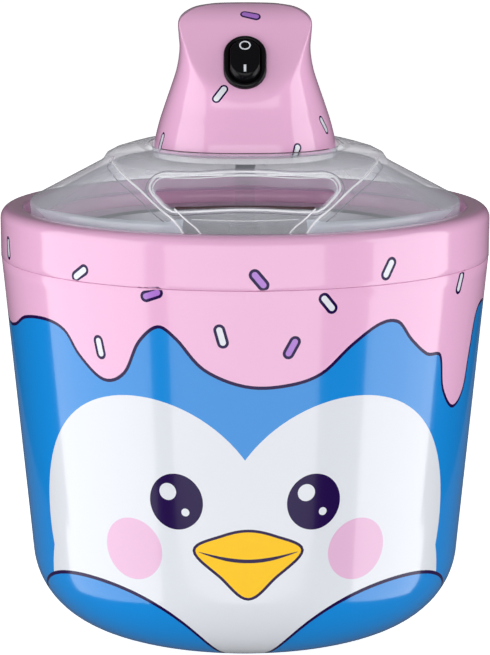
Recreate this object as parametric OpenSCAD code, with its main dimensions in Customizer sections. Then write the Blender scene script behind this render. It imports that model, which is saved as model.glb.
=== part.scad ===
// Domestic ice cream maker with a lift-out freezer bowl, a clear lid and a motor head.
// Millimetres, +Z up, front towards -Y, feet on z = 0, everything centred on the Z axis.

/* [Housing] */
// outer radius of the collar and the top of the housing
collar_radius = 88;      // [84:0.5:92]
// height of the joint between housing and collar
seam_z = 136.3;          // [130:0.1:142]
// height of the collar's flat top
collar_top_z = 154;      // [150:0.5:158]
// inward lean of the housing wall, degrees
wall_taper = 5.2;        // [3:0.1:7]
// radius of the housing's bottom corner
corner_radius = 28;      // [20:1:34]
// wall thickness of the housing
housing_wall = 2.4;      // [2:0.1:3]
// height of the rubber feet below the housing
foot_height = 2;         // [1.5:0.5:4]

/* [Freezer bowl] */
// outer radius of the freezer bowl's rim
bowl_radius = 74;        // [70:0.5:76]
// inner radius of the bowl at its rim
bowl_inner_radius = 61;  // [56:0.5:64]
// height of the bowl's rim
bowl_top_z = 145;        // [140:0.5:147]
// inner floor of the bowl
bowl_floor_z = 35;       // [30:1:45]

/* [Lid] */
// radius of the lid's rim
lid_radius = 77.4;       // [75:0.1:79]
// height of the lid's rim above the floor
lid_rim_z = 156.2;       // [154:0.1:159]
// height of the floor of the motor socket
hub_z = 172;             // [168:0.5:176]
// thickness of the clear lid
lid_wall = 2.2;          // [1.8:0.1:3]

/* [Motor head] */
// wall thickness of the motor head
head_wall = 2.2;         // [1.8:0.1:3]
// distance of the motor's axis behind the output axis
motor_y = 8;             // [6:0.5:10]
// lean of the flat face that carries the switch, degrees from upright
switch_tilt = 35;        // [25:1:40]
// radius of the bend from that face into the top
brow_radius = 16;        // [12:0.5:18]

/* [Gears] */
// gear module
gear_module = 0.6;       // [0.5:0.1:0.8]
// teeth of both pinions
pinion_teeth = 12;       // [12:1:16]
// teeth of both wheels
wheel_teeth = 36;        // [30:1:40]

/* [Hidden] */
$fn = 96;
t_tan = tan(wall_taper);
bottom_z = foot_height;
arc_z = bottom_z + corner_radius;
arc_x = collar_radius + ((arc_z - seam_z) * sin(wall_taper) - corner_radius) / cos(wall_taper);
gear_gap = gear_module * (pinion_teeth + wheel_teeth) / 2;
idler_x = sqrt(gear_gap * gear_gap - motor_y * motor_y / 4);
idler_y = motor_y / 2;
switch_z = 205.8;
switch_y = -22.8;

// ---------- shared shapes ----------

// points of a leaning wall with a round bottom corner, offset inwards by d
function wall_pts(d, top, a0 = -90) = concat(
  [for (i = [0:14]) let(a = a0 + (-wall_taper - a0) * i / 14)
    [arc_x + (corner_radius - d) * cos(a), arc_z + (corner_radius - d) * sin(a)]],
  [[collar_radius - d / cos(wall_taper) - t_tan * (seam_z - top), top]]);

function flip(p) = [for (i = [len(p) - 1:-1:0]) p[i]];

// radius of the bowl's outer wall at a height
function bowl_r(z) = bowl_radius - t_tan * (bowl_top_z - z);

// radius of the bowl's inner wall at a height
function bowl_in(z) = bowl_inner_radius - t_tan * (bowl_top_z - z);

// rounded corner points
function corner(cx, cz, r, a0, a1, n = 6) =
  [for (i = [0:n]) let(a = a0 + (a1 - a0) * i / n) [cx + r * cos(a), cz + r * sin(a)]];

// plan sections of the motor head: height, half width, back depth, front depth, front squareness
HEAD = [[174, 32.6, 37, 37, 0.82], [178, 32.2, 36.4, 36.4, 0.82], [184, 30.7, 34.2, 34.2, 0.8],
  [190, 28.7, 31.6, 31.8, 0.78], [196, 26.6, 29.4, 30.2, 0.74], [202, 24.6, 27.6, 28.8, 0.68],
  [207, 23.6, 26.7, 27.8, 0.62], [211, 23.3, 26.3, 27, 0.58], [215, 23.6, 26, 26.5, 0.56],
  [219.5, 23.7, 25.4, 26, 0.56], [222.2, 21.9, 23.4, 23.4, 0.7], [224.4, 18, 19.2, 19.2, 0.82],
  [225.7, 12, 12.8, 12.8, 0.82]];
HEAD_IN = [[173, 30.4, 34.8, 34.8, 0.82], [178, 30, 34.2, 34.2, 0.82], [184, 28.5, 32, 32, 0.8],
  [190, 26.5, 29.4, 29.6, 0.78], [196, 24.4, 27.2, 28, 0.74], [202, 22.4, 25.4, 26.6, 0.68],
  [207, 21.4, 24.5, 25.6, 0.62], [211, 21.1, 24.1, 24.8, 0.58], [215, 21.3, 23.8, 24.3, 0.56],
  [219.5, 21, 22.6, 23.2, 0.56], [221.6, 19, 20.4, 20.4, 0.7], [223.2, 14, 15, 15, 0.82]];

function pw(v, e) = v < 0 ? -pow(-v, e) : pow(v, e);

// ring of a rounded plan section
function ring(a, b, n, e = 0.82) =
  [for (i = [0:n - 1]) let(t = 360 * i / n) [a * pw(cos(t), e), b * pw(sin(t), e)]];

// ring of one section of the motor head
function head_ring(s, n) =
  [for (i = [0:n - 1]) let(t = 360 * i / n, f = t > 180 && len(s) > 3, e = f ? s[4] : 0.82)
    [s[1] * pw(cos(t), e), (f ? s[3] : s[2]) * pw(sin(t), e)]];

// closed skin through stacked sections of the motor head
module skin(secs, n = 48) {
  pts = [for (s = secs) for (p = head_ring(s, n)) [p[0], p[1], s[0]]];
  m = len(secs);
  side = [for (k = [0:m - 2]) for (i = [0:n - 1]) let(j = (i + 1) % n)
    [k * n + i, (k + 1) * n + i, (k + 1) * n + j, k * n + j]];
  tri = [for (f = side) each [[f[0], f[1], f[2]], [f[0], f[2], f[3]]]];
  bottom = [[for (i = [0:n - 1]) i]];
  top = [[for (i = [n - 1:-1:0]) (m - 1) * n + i]];
  polyhedron(points = pts, faces = concat(bottom, tri, top));
}

// side view that the head is cut to: leaning flat face, bend and top, d inside the surface
function head_side(d) = let(
    c = cos(switch_tilt), s = sin(switch_tilt), run = 16.2,
    by = switch_y + run * s + brow_radius * c, bz = switch_z + run * c - brow_radius * s,
    r = brow_radius - d)
  concat([[by - r * c - 60 * s, bz + r * s - 60 * c]],
    [for (i = [0:10]) let(a = 180 - switch_tilt - (90 - switch_tilt) * i / 10)
      [by + r * cos(a), bz + r * sin(a)]],
    [[60, bz + r], [60, 150], [by - r * c - 60 * s, 150]]);

module head_body(secs, d) {
  intersection() {
    skin(secs);
    rotate([90, 0, 90]) translate([0, 0, -40]) linear_extrude(80) polygon(head_side(d));
  }
}

// upright oval prism, half width r, half height h
module oval(r, h, d) {
  linear_extrude(d)
    union() {
      translate([0, h - r]) circle(r);
      translate([0, r - h]) circle(r);
      translate([-r, r - h]) square([2 * r, 2 * (h - r)]);
    }
}

// puts a shape drawn in x, y with +z outwards on the switch face
module on_switch_face() {
  translate([0, switch_y, switch_z])
    rotate([90 - switch_tilt, 0, 0])
      children();
}

// involute of an angle
function inv(a) = tan(a) * 180 / PI - a;

// outline of a spur gear, first tooth centred on +X
function tooth(n, m, up) = let(
    rb = m * n / 2 * cos(20), ra = m * n / 2 + 0.85 * m, rf = m * n / 2 - 1.2 * m,
    half = 90 / n - 0.055 / (m * n / 2) * 180 / PI, r0 = max(rb, rf + 0.05))
  [for (k = [0:4]) let(kk = up ? k : 4 - k, r = r0 + (ra - r0) * kk / 4,
      a = half + inv(20) - inv(acos(min(1, rb / r)))) [r, up ? -a : a]];

function gear_pts(n, m) = let(rf = m * n / 2 - 1.2 * m)
  [for (i = [0:n - 1]) let(c = 360 / n * i, up = tooth(n, m, true), dn = tooth(n, m, false))
    each concat([[rf * cos(c + up[0][1] - 0.4), rf * sin(c + up[0][1] - 0.4)]],
      [for (p = up) [p[0] * cos(c + p[1]), p[0] * sin(c + p[1])]],
      [for (p = dn) [p[0] * cos(c + p[1]), p[0] * sin(c + p[1])]],
      [[rf * cos(c + dn[4][1] + 0.4), rf * sin(c + dn[4][1] + 0.4)]])];

module spur(n, w, phase, bore) {
  rotate([0, 0, phase])
    difference() {
      linear_extrude(w) polygon(gear_pts(n, gear_module));
      translate([0, 0, -1]) cylinder(r = bore, h = w + 2);
    }
}

// direction from the output axis to the idler axis, and from the rotor axis to the idler axis
dir_out = atan2(idler_y, idler_x);
dir_rot = atan2(idler_y - motor_y, idler_x);

// ---------- base ----------

// tapered outer wall with a flanged opening under it
module outer_housing() {
  color([0.14, 0.55, 0.88])
    difference() {
      union() {
        rotate_extrude($fn = 160)
          polygon(concat([[33, bottom_z]], wall_pts(0, seam_z - 0.2),
            flip(wall_pts(housing_wall, seam_z - 0.2)), [[33, bottom_z + housing_wall]]));
      }
      for (a = [45:90:315])
        rotate([0, 0, a]) translate([42, 0, 0]) cylinder(r = 2.6, h = 10, $fn = 32);
    }
}

// collar that closes the top of the housing and carries the lid
module collar_ring() {
  color([0.94, 0.73, 0.85])
    rotate_extrude($fn = 160)
      polygon(concat([[collar_radius, seam_z + 0.2]],
        corner(collar_radius - 4, collar_top_z - 4, 4, 0, 90),
        [[80.2, collar_top_z - 0.3], [79.4, collar_top_z - 1], [79.2, 149.5], [75.6, 149.5],
          [75.6, 138], [77.6, 138], [77.6, 147.3], [81.2, 147.3], [81.2, 150.9], [83.4, 151.2],
          [85.2, 149], [85.2, 138], [82.7, 137], [82.5, 131.5], [84.4, 131.5],
          [85.1, seam_z + 0.2]]));
}

// thin cup inside the housing that the freezer bowl drops into
module bowl_well_liner() {
  color([0.93, 0.93, 0.92])
    difference() {
      union() {
        rotate_extrude()
          polygon([[0, 12], [57, 12], [bowl_r(20) + 2.4, 20], [bowl_r(136.5) + 2.4, 136.5],
            [79, 136.5], [79, 138], [bowl_r(138) + 0.9, 138], [bowl_r(22) + 0.9, 22],
            [56.8, 13.5], [0, 13.5]]);
        for (a = [0:90:270])
          rotate([0, 0, a]) translate([26, 0, 6.8]) cylinder(r = 4, h = 5.6, $fn = 32);
      }
      for (a = [0:90:270])
        rotate([0, 0, a]) translate([26, 0, 6]) cylinder(r = 1.55, h = 6.6, $fn = 24);
    }
}

// moulded foam between the housing and the liner
module insulation_foam() {
  color([0.95, 0.9, 0.7])
    rotate_extrude()
      polygon(concat(wall_pts(housing_wall + 0.3, 130.5, -55),
        [[bowl_r(130.5) + 2.7, 130.5], [bowl_r(20) + 2.9, 20], [57.3, 11.6]]));
}

// soft ring the freezer bowl stands on
module bowl_seat_ring() {
  color([0.2, 0.2, 0.22])
    rotate_extrude()
      polygon([[36, 13.5], [44, 13.5], [43, 16], [37, 16]]);
}

// round plate that closes the bottom
module base_plate() {
  color([0.88, 0.88, 0.9])
    difference() {
      union() {
        translate([0, 0, 2.2]) cylinder(r = 32.7, h = 2.4);
        translate([0, 0, 4.6]) cylinder(r = 37, h = 2);
      }
      for (a = [0:90:270])
        rotate([0, 0, a]) translate([26, 0, 0]) {
          cylinder(r = 1.9, h = 8, $fn = 24);
          cylinder(r = 3.4, h = 4.2, $fn = 32);
        }
    }
}

// four screws from the base plate into the liner's posts
module base_screws() {
  color([0.75, 0.76, 0.78])
    for (a = [0:90:270])
      rotate([0, 0, a]) translate([26, 0, 0])
        difference() {
          union() {
            translate([0, 0, 2.5]) cylinder(r = 3, h = 1.7, $fn = 32);
            translate([0, 0, 4]) cylinder(r = 1.5, h = 8.2, $fn = 24);
          }
          translate([-2, -0.35, 2]) cube([4, 0.7, 1.2]);
          translate([-0.35, -2, 2]) cube([0.7, 4, 1.2]);
        }
}

// four push-in rubber feet
module rubber_feet() {
  color([0.16, 0.16, 0.17])
    for (a = [45:90:315])
      rotate([0, 0, a]) translate([42, 0, 0]) {
        cylinder(r1 = 6, r2 = 6.6, h = foot_height, $fn = 40);
        cylinder(r = 2.5, h = 4.8, $fn = 32);
        translate([0, 0, 4.45]) cylinder(r1 = 3.4, r2 = 2, h = 1.4, $fn = 32);
      }
}

// ---------- freezer bowl ----------

// outer skin of the double-walled bowl
module bowl_outer_shell() {
  color([0.72, 0.73, 0.75])
    difference() {
      rotate_extrude()
        polygon(concat([[0, 16]], corner(bowl_r(28) - 12, 28, 12, -90, -wall_taper, 8),
          [[bowl_r(143.7), 143.7], [bowl_r(143.7) - 1, 143.7]],
          flip(corner(bowl_r(28) - 12, 28, 11, -90, -wall_taper, 8)), [[0, 17]]));
      translate([0, 0, 15]) cylinder(r = 4, h = 3, $fn = 40);
    }
}

// inner skin with the flat rim and the paddle's pivot
module bowl_inner_shell() {
  color([0.8, 0.81, 0.83])
    union() {
      rotate_extrude()
        polygon(concat([[0, bowl_floor_z - 1.2]],
          corner(bowl_in(49) - 14, bowl_floor_z + 14, 15.2, -90, -wall_taper, 8),
          [[bowl_in(143.8) + 1.2, 143.8], [bowl_radius, 143.8], [bowl_radius, 144.6],
            [bowl_radius - 0.4, bowl_top_z], [62.2, bowl_top_z], [bowl_in(144), 144]],
          flip(corner(bowl_in(49) - 14, bowl_floor_z + 14, 14, -90, -wall_taper, 8)),
          [[0, bowl_floor_z]]));
      translate([0, 0, bowl_floor_z - 0.6]) cylinder(r = 3, h = 5.6, $fn = 40);
    }
}

// rubber ring under the rim that seals the two skins
module bowl_rim_seal() {
  color([0.3, 0.3, 0.32])
    rotate_extrude()
      polygon([[bowl_in(139) + 1.4, 139], [bowl_r(139) - 1.2, 139],
        [bowl_r(143.6) - 1.2, 143.6], [bowl_in(143.6) + 1.4, 143.6]]);
}

// frozen coolant between the skins, with room to expand above it
module coolant_gel() {
  color([0.55, 0.78, 0.92, 0.7])
    rotate_extrude()
      polygon(concat([[0, 19.4], [7, 19.4], [7, 17.3]],
        corner(bowl_r(28) - 12, 28, 10.7, -90, -wall_taper, 8),
        [[bowl_r(133) - 1.3, 133], [bowl_in(133) + 1.5, 133]],
        flip(corner(bowl_in(49) - 14, bowl_floor_z + 14, 15.5, -90, -wall_taper, 8)),
        [[0, bowl_floor_z - 1.5]]));
}

// plug in the filling hole of the outer skin
module coolant_fill_plug() {
  color([0.25, 0.25, 0.27])
    translate([0, 0, 16]) {
      cylinder(r = 3.95, h = 2.6, $fn = 40);
      translate([0, 0, 1.05]) cylinder(r = 6, h = 1.6, $fn = 40);
    }
}

// ---------- paddle ----------

// outline of one blade in the x, z plane
function blade_edge(d, top) = concat(
  corner(bowl_in(49) - 14, bowl_floor_z + 14, 14 - d, -90, -wall_taper, 8),
  [[bowl_in(top) - d, top]]);

// two-bladed open paddle with a square drive end
module mixing_paddle() {
  color([0.86, 0.93, 0.97, 0.4])
    difference() {
      union() {
        translate([0, 0, 36.4]) cylinder(r = 5.5, h = 109.7, $fn = 48);
        translate([-3.5, -3.5, 146]) cube([7, 7, 23.2]);
        for (m = [0, 1])
          rotate([0, 0, 180 * m]) rotate([90, 0, 0]) translate([0, 0, -1.5])
            linear_extrude(3)
              difference() {
                polygon(concat([[0, 36.6]], blade_edge(2.4, 118), [[42, 118], [12, 100], [0, 100]]));
                polygon([[12, 46], [34, 46], [41.5, 54], [42.6, 64], [12, 64]]);
                polygon([[12, 71], [43.3, 71], [45.8, 104], [12, 90]]);
              }
      }
      translate([0, 0, 36]) cylinder(r = 3.08, h = 4.6, $fn = 40);
    }
}

// flexible edges on the paddle's blades
module paddle_wipers() {
  color([0.55, 0.8, 0.95])
    for (m = [0, 1])
      rotate([0, 0, 180 * m]) rotate([90, 0, 0]) translate([0, 0, -1])
        linear_extrude(2)
          polygon(concat(blade_edge(1, 112), flip(blade_edge(2.34, 112))));
}

// ---------- lid ----------

function lid_line(d) = [[lid_radius - 0.7, lid_rim_z + d], [46.9, 172.1 + d], [40, 174.2 + d],
  [34, 174.4 + d]];

// outline of the filling opening, bent round the cone; k grows it
function opening(k) = let(
    h = [[29.5, -42.8], [31, -47.5], [30.3, -53], [26, -61.5], [22.4, -66.8], [15, -68.7], [8, -69.8]],
    p = concat([[10, -51], [20, -48]], h))
  [for (q = concat(p, [for (q = flip(p)) [-q[0], q[1]]]))
    [q[0] * (1 + k / 30), -57 + (q[1] + 57) * (1 + k / 13.5)]];

// clear cone with the filling opening and the socket for the motor head
module clear_lid() {
  color([0.86, 0.93, 0.97, 0.4])
    difference() {
      union() {
        rotate_extrude($fn = 160)
          polygon([[lid_radius, 150.3], [lid_radius, lid_rim_z - 0.8],
            [lid_radius - 0.7, lid_rim_z], [46.9, 172.1], [36, 175.4], [31, 175.4], [31, hub_z],
            [12, hub_z], [12, hub_z - lid_wall], [46.2, hub_z - lid_wall], [74.9, 154.4],
            [74.9, 150.3]]);
        intersection() {
          rotate_extrude($fn = 160)
            polygon(concat(lid_line(-0.6), flip(lid_line(1.6))));
          translate([0, 0, 150])
            linear_extrude(34)
              difference() {
                polygon(concat([for (a = [-17:15.286:198]) [46.8 * cos(a), 46.8 * sin(a)]],
                  [[-46.3, -21.3], [-41.7, -36.9], [-35.7, -50.3], [-28, -65.3], [-20, -75.5],
                    [20, -75.5], [28, -65.3], [35.7, -50.3], [41.7, -36.9], [46.3, -21.3]]));
                polygon([[-21, -71.2], [0, -73.6], [21, -71.2], [14, -79], [-14, -79]]);
              }
        }
        intersection() {
          rotate_extrude($fn = 160)
            polygon(concat(lid_line(-0.6), flip(lid_line(2.4))));
          translate([0, 0, 150]) linear_extrude(34) polygon(opening(1.6));
        }
        skin([[171, 35.6, 40], [174.6, 35, 39.6], [176, 34.8, 39.3]]);
      }
      skin([[hub_z, 33.2, 37.8], [180, 33.4, 38]]);
      translate([0, 0, 160]) cylinder(r = 12, h = 14, $fn = 64);
      translate([0, 0, 145]) linear_extrude(40) polygon(opening(0));
    }
}

// soft ring under the lid's skirt
module lid_seal_ring() {
  color([0.85, 0.87, 0.9])
    rotate_extrude($fn = 160)
      polygon([[75.8, 149.5], [77.2, 149.5], [77.2, 150.3], [75.8, 150.3]]);
}

// ---------- motor head ----------

// outer shell of the motor head with the switch pad and the cord opening
module motor_head_shell() {
  color([0.94, 0.73, 0.85])
    difference() {
      union() {
        difference() {
          head_body(HEAD, 0);
          head_body(HEAD_IN, head_wall);
        }
        for (x = [-22.6, 22.6])
          for (y = [-19.4, 19.4])
            translate([x, y, 174.2]) cylinder(r = 3, h = 8, $fn = 32);
      }
      on_switch_face() translate([0, 0, -14]) oval(6.7, 9.7, 20);
      translate([0, 34, 184]) rotate([-68, 0, 0]) translate([0, 0, -8])
        cylinder(r = 4.5, h = 14, $fn = 40);
      for (x = [-22.6, 22.6])
        for (y = [-19.4, 19.4])
          translate([x, y, 173]) cylinder(r = 1.3, h = 8.4, $fn = 24);
    }
}

// plate under the motor head that carries the gear train
module motor_base_cover() {
  color([0.9, 0.9, 0.92])
    difference() {
      translate([0, 0, hub_z]) linear_extrude(2) polygon(ring(31.5, 35.4, 40));
      translate([0, 0, hub_z - 1]) cylinder(r = 5.5, h = 4, $fn = 48);
      for (x = [-22.6, 22.6])
        for (y = [-19.4, 19.4])
          translate([x, y, hub_z - 1]) {
            cylinder(r = 1.7, h = 4, $fn = 24);
            cylinder(r = 3, h = 2.2, $fn = 32);
          }
      translate([idler_x, idler_y, 172.8]) cylinder(r = 1.52, h = 2, $fn = 24);
      for (p = [[-18, -12], [16, -20], [-4, 25]])
        translate([p[0], p[1], hub_z - 1]) cylinder(r = 1.55, h = 4, $fn = 24);
    }
}

// screws that hold the cover to the head shell and the gear plate to the cover
module cover_screws() {
  color([0.75, 0.76, 0.78]) {
    for (x = [-22.6, 22.6])
      for (y = [-19.4, 19.4])
        translate([x, y, 0]) {
          translate([0, 0, 172.2]) cylinder(r = 2.8, h = 1, $fn = 32);
          translate([0, 0, 173]) cylinder(r = 1.25, h = 8, $fn = 24);
        }
    for (p = [[-18, -12], [16, -20], [-4, 25]])
      translate([p[0], p[1], 0]) {
        translate([0, 0, 191.6]) cylinder(r = 2.8, h = 1.8, $fn = 32);
        translate([0, 0, 172.6]) cylinder(r = 1.5, h = 19.2, $fn = 24);
      }
  }
}

// plate above the gears that carries the motor
module gear_plate() {
  color([0.7, 0.71, 0.73])
    difference() {
      translate([0, 0, 190]) linear_extrude(1.6) polygon(ring(25.2, 28, 40));
      translate([0, 0, 189]) cylinder(r = 2.56, h = 2.4, $fn = 40);
      translate([0, motor_y, 189]) cylinder(r = 4, h = 4, $fn = 40);
      translate([idler_x, idler_y, 189]) cylinder(r = 1.52, h = 4, $fn = 24);
      translate([8, 20, 189]) cylinder(r = 3.2, h = 4, $fn = 32);
      translate([-8.5, -30, 189]) cube([17, 14, 4]);
      for (p = [[-18, -12], [16, -20], [-4, 25]])
        translate([p[0], p[1], 189]) cylinder(r = 1.55, h = 4, $fn = 24);
    }
}

// three tubes between the cover and the gear plate
module gear_plate_spacers() {
  color([0.8, 0.8, 0.82])
    for (p = [[-18, -12], [16, -20], [-4, 25]])
      translate([p[0], p[1], 174])
        difference() {
          cylinder(r = 2.9, h = 16, $fn = 32);
          translate([0, 0, -1]) cylinder(r = 1.56, h = 18, $fn = 24);
        }
}

// fixed pin the idler gear turns on
module idler_axle() {
  color([0.78, 0.79, 0.8])
    translate([idler_x, idler_y, 172.8]) cylinder(r = 1.5, h = 18.6, $fn = 24);
}

// plain bearing of the output shaft
module output_bush() {
  color([0.75, 0.58, 0.3])
    difference() {
      union() {
        translate([0, 0, hub_z]) cylinder(r = 5.48, h = 3.6, $fn = 48);
        translate([0, 0, 174]) cylinder(r = 7, h = 1.2, $fn = 48);
      }
      translate([0, 0, hub_z - 1]) cylinder(r = 3.06, h = 6, $fn = 48);
    }
}

// steel can of the motor
module motor_can() {
  color([0.66, 0.67, 0.7])
    translate([0, motor_y, 191.6])
      difference() {
        union() {
          cylinder(r = 13.5, h = 21.4);
          translate([0, 0, -1.6]) cylinder(r = 3.9, h = 2, $fn = 40);
        }
        translate([0, 0, 0.8]) cylinder(r = 12.9, h = 22);
        translate([0, 0, -3]) cylinder(r = 1.2, h = 6, $fn = 32);
      }
}

// two arc magnets inside the can
module motor_magnets() {
  color([0.22, 0.22, 0.24])
    translate([0, motor_y, 194])
      difference() {
        cylinder(r = 12.85, h = 16);
        translate([0, 0, -1]) cylinder(r = 10.4, h = 18);
        translate([-14, -4, -1]) cube([28, 8, 18]);
      }
}

// plastic end cap with the rear bearing
module motor_end_cap() {
  color([0.92, 0.92, 0.9])
    difference() {
      union() {
        translate([0, motor_y, 213]) cylinder(r = 13.4, h = 1.6);
        translate([0, motor_y, 211.8]) cylinder(r = 12.7, h = 1.3);
        translate([0, motor_y, 214.4]) cylinder(r = 4, h = 2, $fn = 40);
      }
      translate([0, motor_y, 211]) cylinder(r = 1.2, h = 4.6, $fn = 32);
      translate([0, motor_y, 211]) cylinder(r = 4.6, h = 2, $fn = 40);
    }
}

// two tabs on the end cap
module motor_terminals() {
  color([0.8, 0.66, 0.35])
    for (x = [-9, 8])
      translate([x, motor_y - 1.5, 214.6]) cube([1, 3, 4]);
}

// small board with the rectifier and a capacitor
module rectifier_board() {
  color([0.2, 0.5, 0.3])
    union() {
      translate([-17.2, -8, 194]) cube([1.4, 18, 15]);
      translate([-19, -5, 197]) cube([2, 7, 8]);
      translate([-17, 6.5, 199]) rotate([0, -90, 0]) cylinder(r = 2.4, h = 2.2, $fn = 32);
    }
}

// bent wire through a few points
module wire(pts, r, n = 8) {
  m = len(pts);
  sec = [for (i = [0:m - 1]) let(
      d = pts[min(i + 1, m - 1)] - pts[max(i - 1, 0)],
      u = cross(d, [0.9, 0.3, 0.2]) / norm(cross(d, [0.9, 0.3, 0.2])),
      w = cross(d / norm(d), u))
    each [for (k = [0:n - 1]) pts[i] + r * (cos(360 * k / n) * u + sin(360 * k / n) * w)]];
  side = [for (i = [0:m - 2]) for (k = [0:n - 1]) let(q = (k + 1) % n)
    each [[i * n + k, (i + 1) * n + k, (i + 1) * n + q], [i * n + k, (i + 1) * n + q, i * n + q]]];
  polyhedron(points = sec, faces = concat([[for (k = [0:n - 1]) k]], side,
    [[for (k = [n - 1:-1:0]) (m - 1) * n + k]]));
}

// wires between the gland, the board, the switch and the motor
module internal_wires() {
  color([0.15, 0.25, 0.6]) {
    wire([[1.4, 26, 187], [5, 23.4, 188.2], [8, 20.4, 189.4], [8.4, 20.6, 193], [11, 20.4, 196.5],
      [11.4, 19.6, 209], [11.6, 19, 216], [10, 10.8, 217.6]], 0.7);
    wire([[-16.4, 8, 209.9], [-15.8, 8, 216.4], [-9.9, 8, 217.6]], 0.7);
    wire([[-16.4, -6, 209.9], [-13, -8.5, 209.5], [-7.5, -9, 206.3], [-2.5, -8.1, 204.2]], 0.7);
  }
}

// rubber inlet for the cord at the back of the head
module cord_gland() {
  color([0.14, 0.14, 0.15])
    translate([0, 34, 184]) rotate([-68, 0, 0])
      difference() {
        union() {
          translate([0, 0, -4.6]) cylinder(r = 4.4, h = 6, $fn = 40);
          translate([0, 0, 0.6]) cylinder(r = 6, h = 1.8, $fn = 40);
          translate([0, 0, -4.8]) cylinder(r = 5.6, h = 1.4, $fn = 40);
        }
        translate([0, 0, -6]) cylinder(r = 2.8, h = 12, $fn = 40);
      }
}

// oval body and bezel of the rocker switch
module switch_bezel() {
  color([0.05, 0.05, 0.06])
    on_switch_face()
      difference() {
        union() {
          oval(7.5, 10.5, 1.3);
          oval(7.1, 10.1, 1.9);
          translate([0, 0, -11]) oval(6.5, 9.5, 11.2);
        }
        translate([0, 0, -6.6]) oval(5.6, 8.9, 10);
        translate([-7, 0, -0.5]) rotate([0, 90, 0]) cylinder(r = 1.06, h = 14, $fn = 24);
      }
}

// tabs behind the switch
module switch_terminals() {
  color([0.8, 0.66, 0.35])
    on_switch_face()
      for (y = [-5, 1, 7])
        translate([-1.6, y - 0.4, -14.6]) cube([3.2, 0.8, 3.6]);
}

// rocker, resting with its upper side pressed in; round about its pivot so that it clears the bezel
module switch_rocker() {
  color([0.03, 0.03, 0.04])
    on_switch_face()
      union() {
        intersection() {
          rotate([90, 0, 90]) translate([0, 0, -6])
            linear_extrude(12)
              polygon([[-9, 4.88], [9, 2.56], [9, -3.5], [0, -4.5], [-9, -1.5]]);
          translate([0, 0, -0.5]) rotate([0, 90, 0])
            rotate_extrude($fn = 96)
              polygon(concat([[0, -5.15]],
                [for (x = [-5.15:1.03:5.16]) [3 + sqrt(31.36 - x * x), x]], [[0, 5.15]]));
        }
        translate([-6.2, 0, -0.5]) rotate([0, 90, 0]) cylinder(r = 1, h = 12.4, $fn = 24);
      }
}

// ---------- moving parts of the drive ----------

// motor shaft
module rotor_shaft() {
  color([0.82, 0.83, 0.85])
    translate([0, motor_y, 183.4]) cylinder(r = 1.15, h = 31.9, $fn = 32);
}

// slotted core on the motor shaft
module armature_core() {
  color([0.6, 0.4, 0.25])
    translate([0, motor_y, 195])
      difference() {
        cylinder(r = 9.8, h = 14);
        translate([0, 0, -1]) cylinder(r = 1.16, h = 16, $fn = 32);
        for (a = [0:72:288])
          rotate([0, 0, a]) translate([4, -1, -1]) cube([8, 2, 16]);
      }
}

// commutator drum
module commutator() {
  color([0.8, 0.5, 0.3])
    translate([0, motor_y, 209])
      difference() {
        cylinder(r = 3, h = 3.4, $fn = 40);
        translate([0, 0, -1]) cylinder(r = 1.16, h = 6, $fn = 32);
      }
}

// pinion on the motor shaft
module rotor_pinion() {
  color([0.9, 0.9, 0.85])
    translate([0, motor_y, 183.4]) spur(pinion_teeth, 5, dir_rot, 1.16);
}

// compound idler: wheel driven by the motor, pinion driving the output
module idler_gear() {
  color([0.93, 0.93, 0.9])
    translate([idler_x, idler_y, 0])
      difference() {
        union() {
          translate([0, 0, 176.6])
            spur(pinion_teeth, 6.6, dir_out + 180 - 180 / pinion_teeth, 1);
          translate([0, 0, 183.5])
            spur(wheel_teeth, 4, dir_rot + 180 - 180 / wheel_teeth, 1);
          translate([0, 0, 177.6]) cylinder(r = 2.3, h = 8, $fn = 32);
        }
        translate([0, 0, 170]) cylinder(r = 1.55, h = 20, $fn = 32);
      }
}

// large output wheel
module output_gear() {
  color([0.93, 0.93, 0.9])
    translate([0, 0, 177]) spur(wheel_teeth, 5, dir_out, 3.02);
}

// steel output shaft
module drive_shaft() {
  color([0.82, 0.83, 0.85])
    union() {
      translate([0, 0, 169.6]) cylinder(r = 3, h = 12.8, $fn = 48);
      translate([0, 0, 182.2]) cylinder(r = 2.5, h = 9, $fn = 48);
    }
}

// coupling with the square socket for the paddle
module drive_coupling() {
  color([0.86, 0.93, 0.97, 0.4])
    difference() {
      translate([0, 0, 164]) cylinder(r = 8, h = 7.6, $fn = 64);
      translate([-3.65, -3.65, 163]) cube([7.3, 7.3, 6.6]);
      translate([0, 0, 168]) cylinder(r = 3.02, h = 5, $fn = 48);
    }
}

outer_housing();
collar_ring();
bowl_well_liner();
insulation_foam();
bowl_seat_ring();
base_plate();
base_screws();
rubber_feet();
bowl_outer_shell();
bowl_inner_shell();
bowl_rim_seal();
coolant_gel();
coolant_fill_plug();
mixing_paddle();
paddle_wipers();
clear_lid();
lid_seal_ring();
motor_head_shell();
motor_base_cover();
cover_screws();
gear_plate();
gear_plate_spacers();
idler_axle();
output_bush();
motor_can();
motor_magnets();
motor_end_cap();
motor_terminals();
rectifier_board();
internal_wires();
cord_gland();
switch_bezel();
switch_terminals();
switch_rocker();
rotor_shaft();
armature_core();
commutator();
rotor_pinion();
idler_gear();
output_gear();
drive_shaft();
drive_coupling();
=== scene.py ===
import math

import bmesh
import bpy
import numpy as np
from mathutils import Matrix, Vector
from mathutils.geometry import delaunay_2d_cdt


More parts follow.
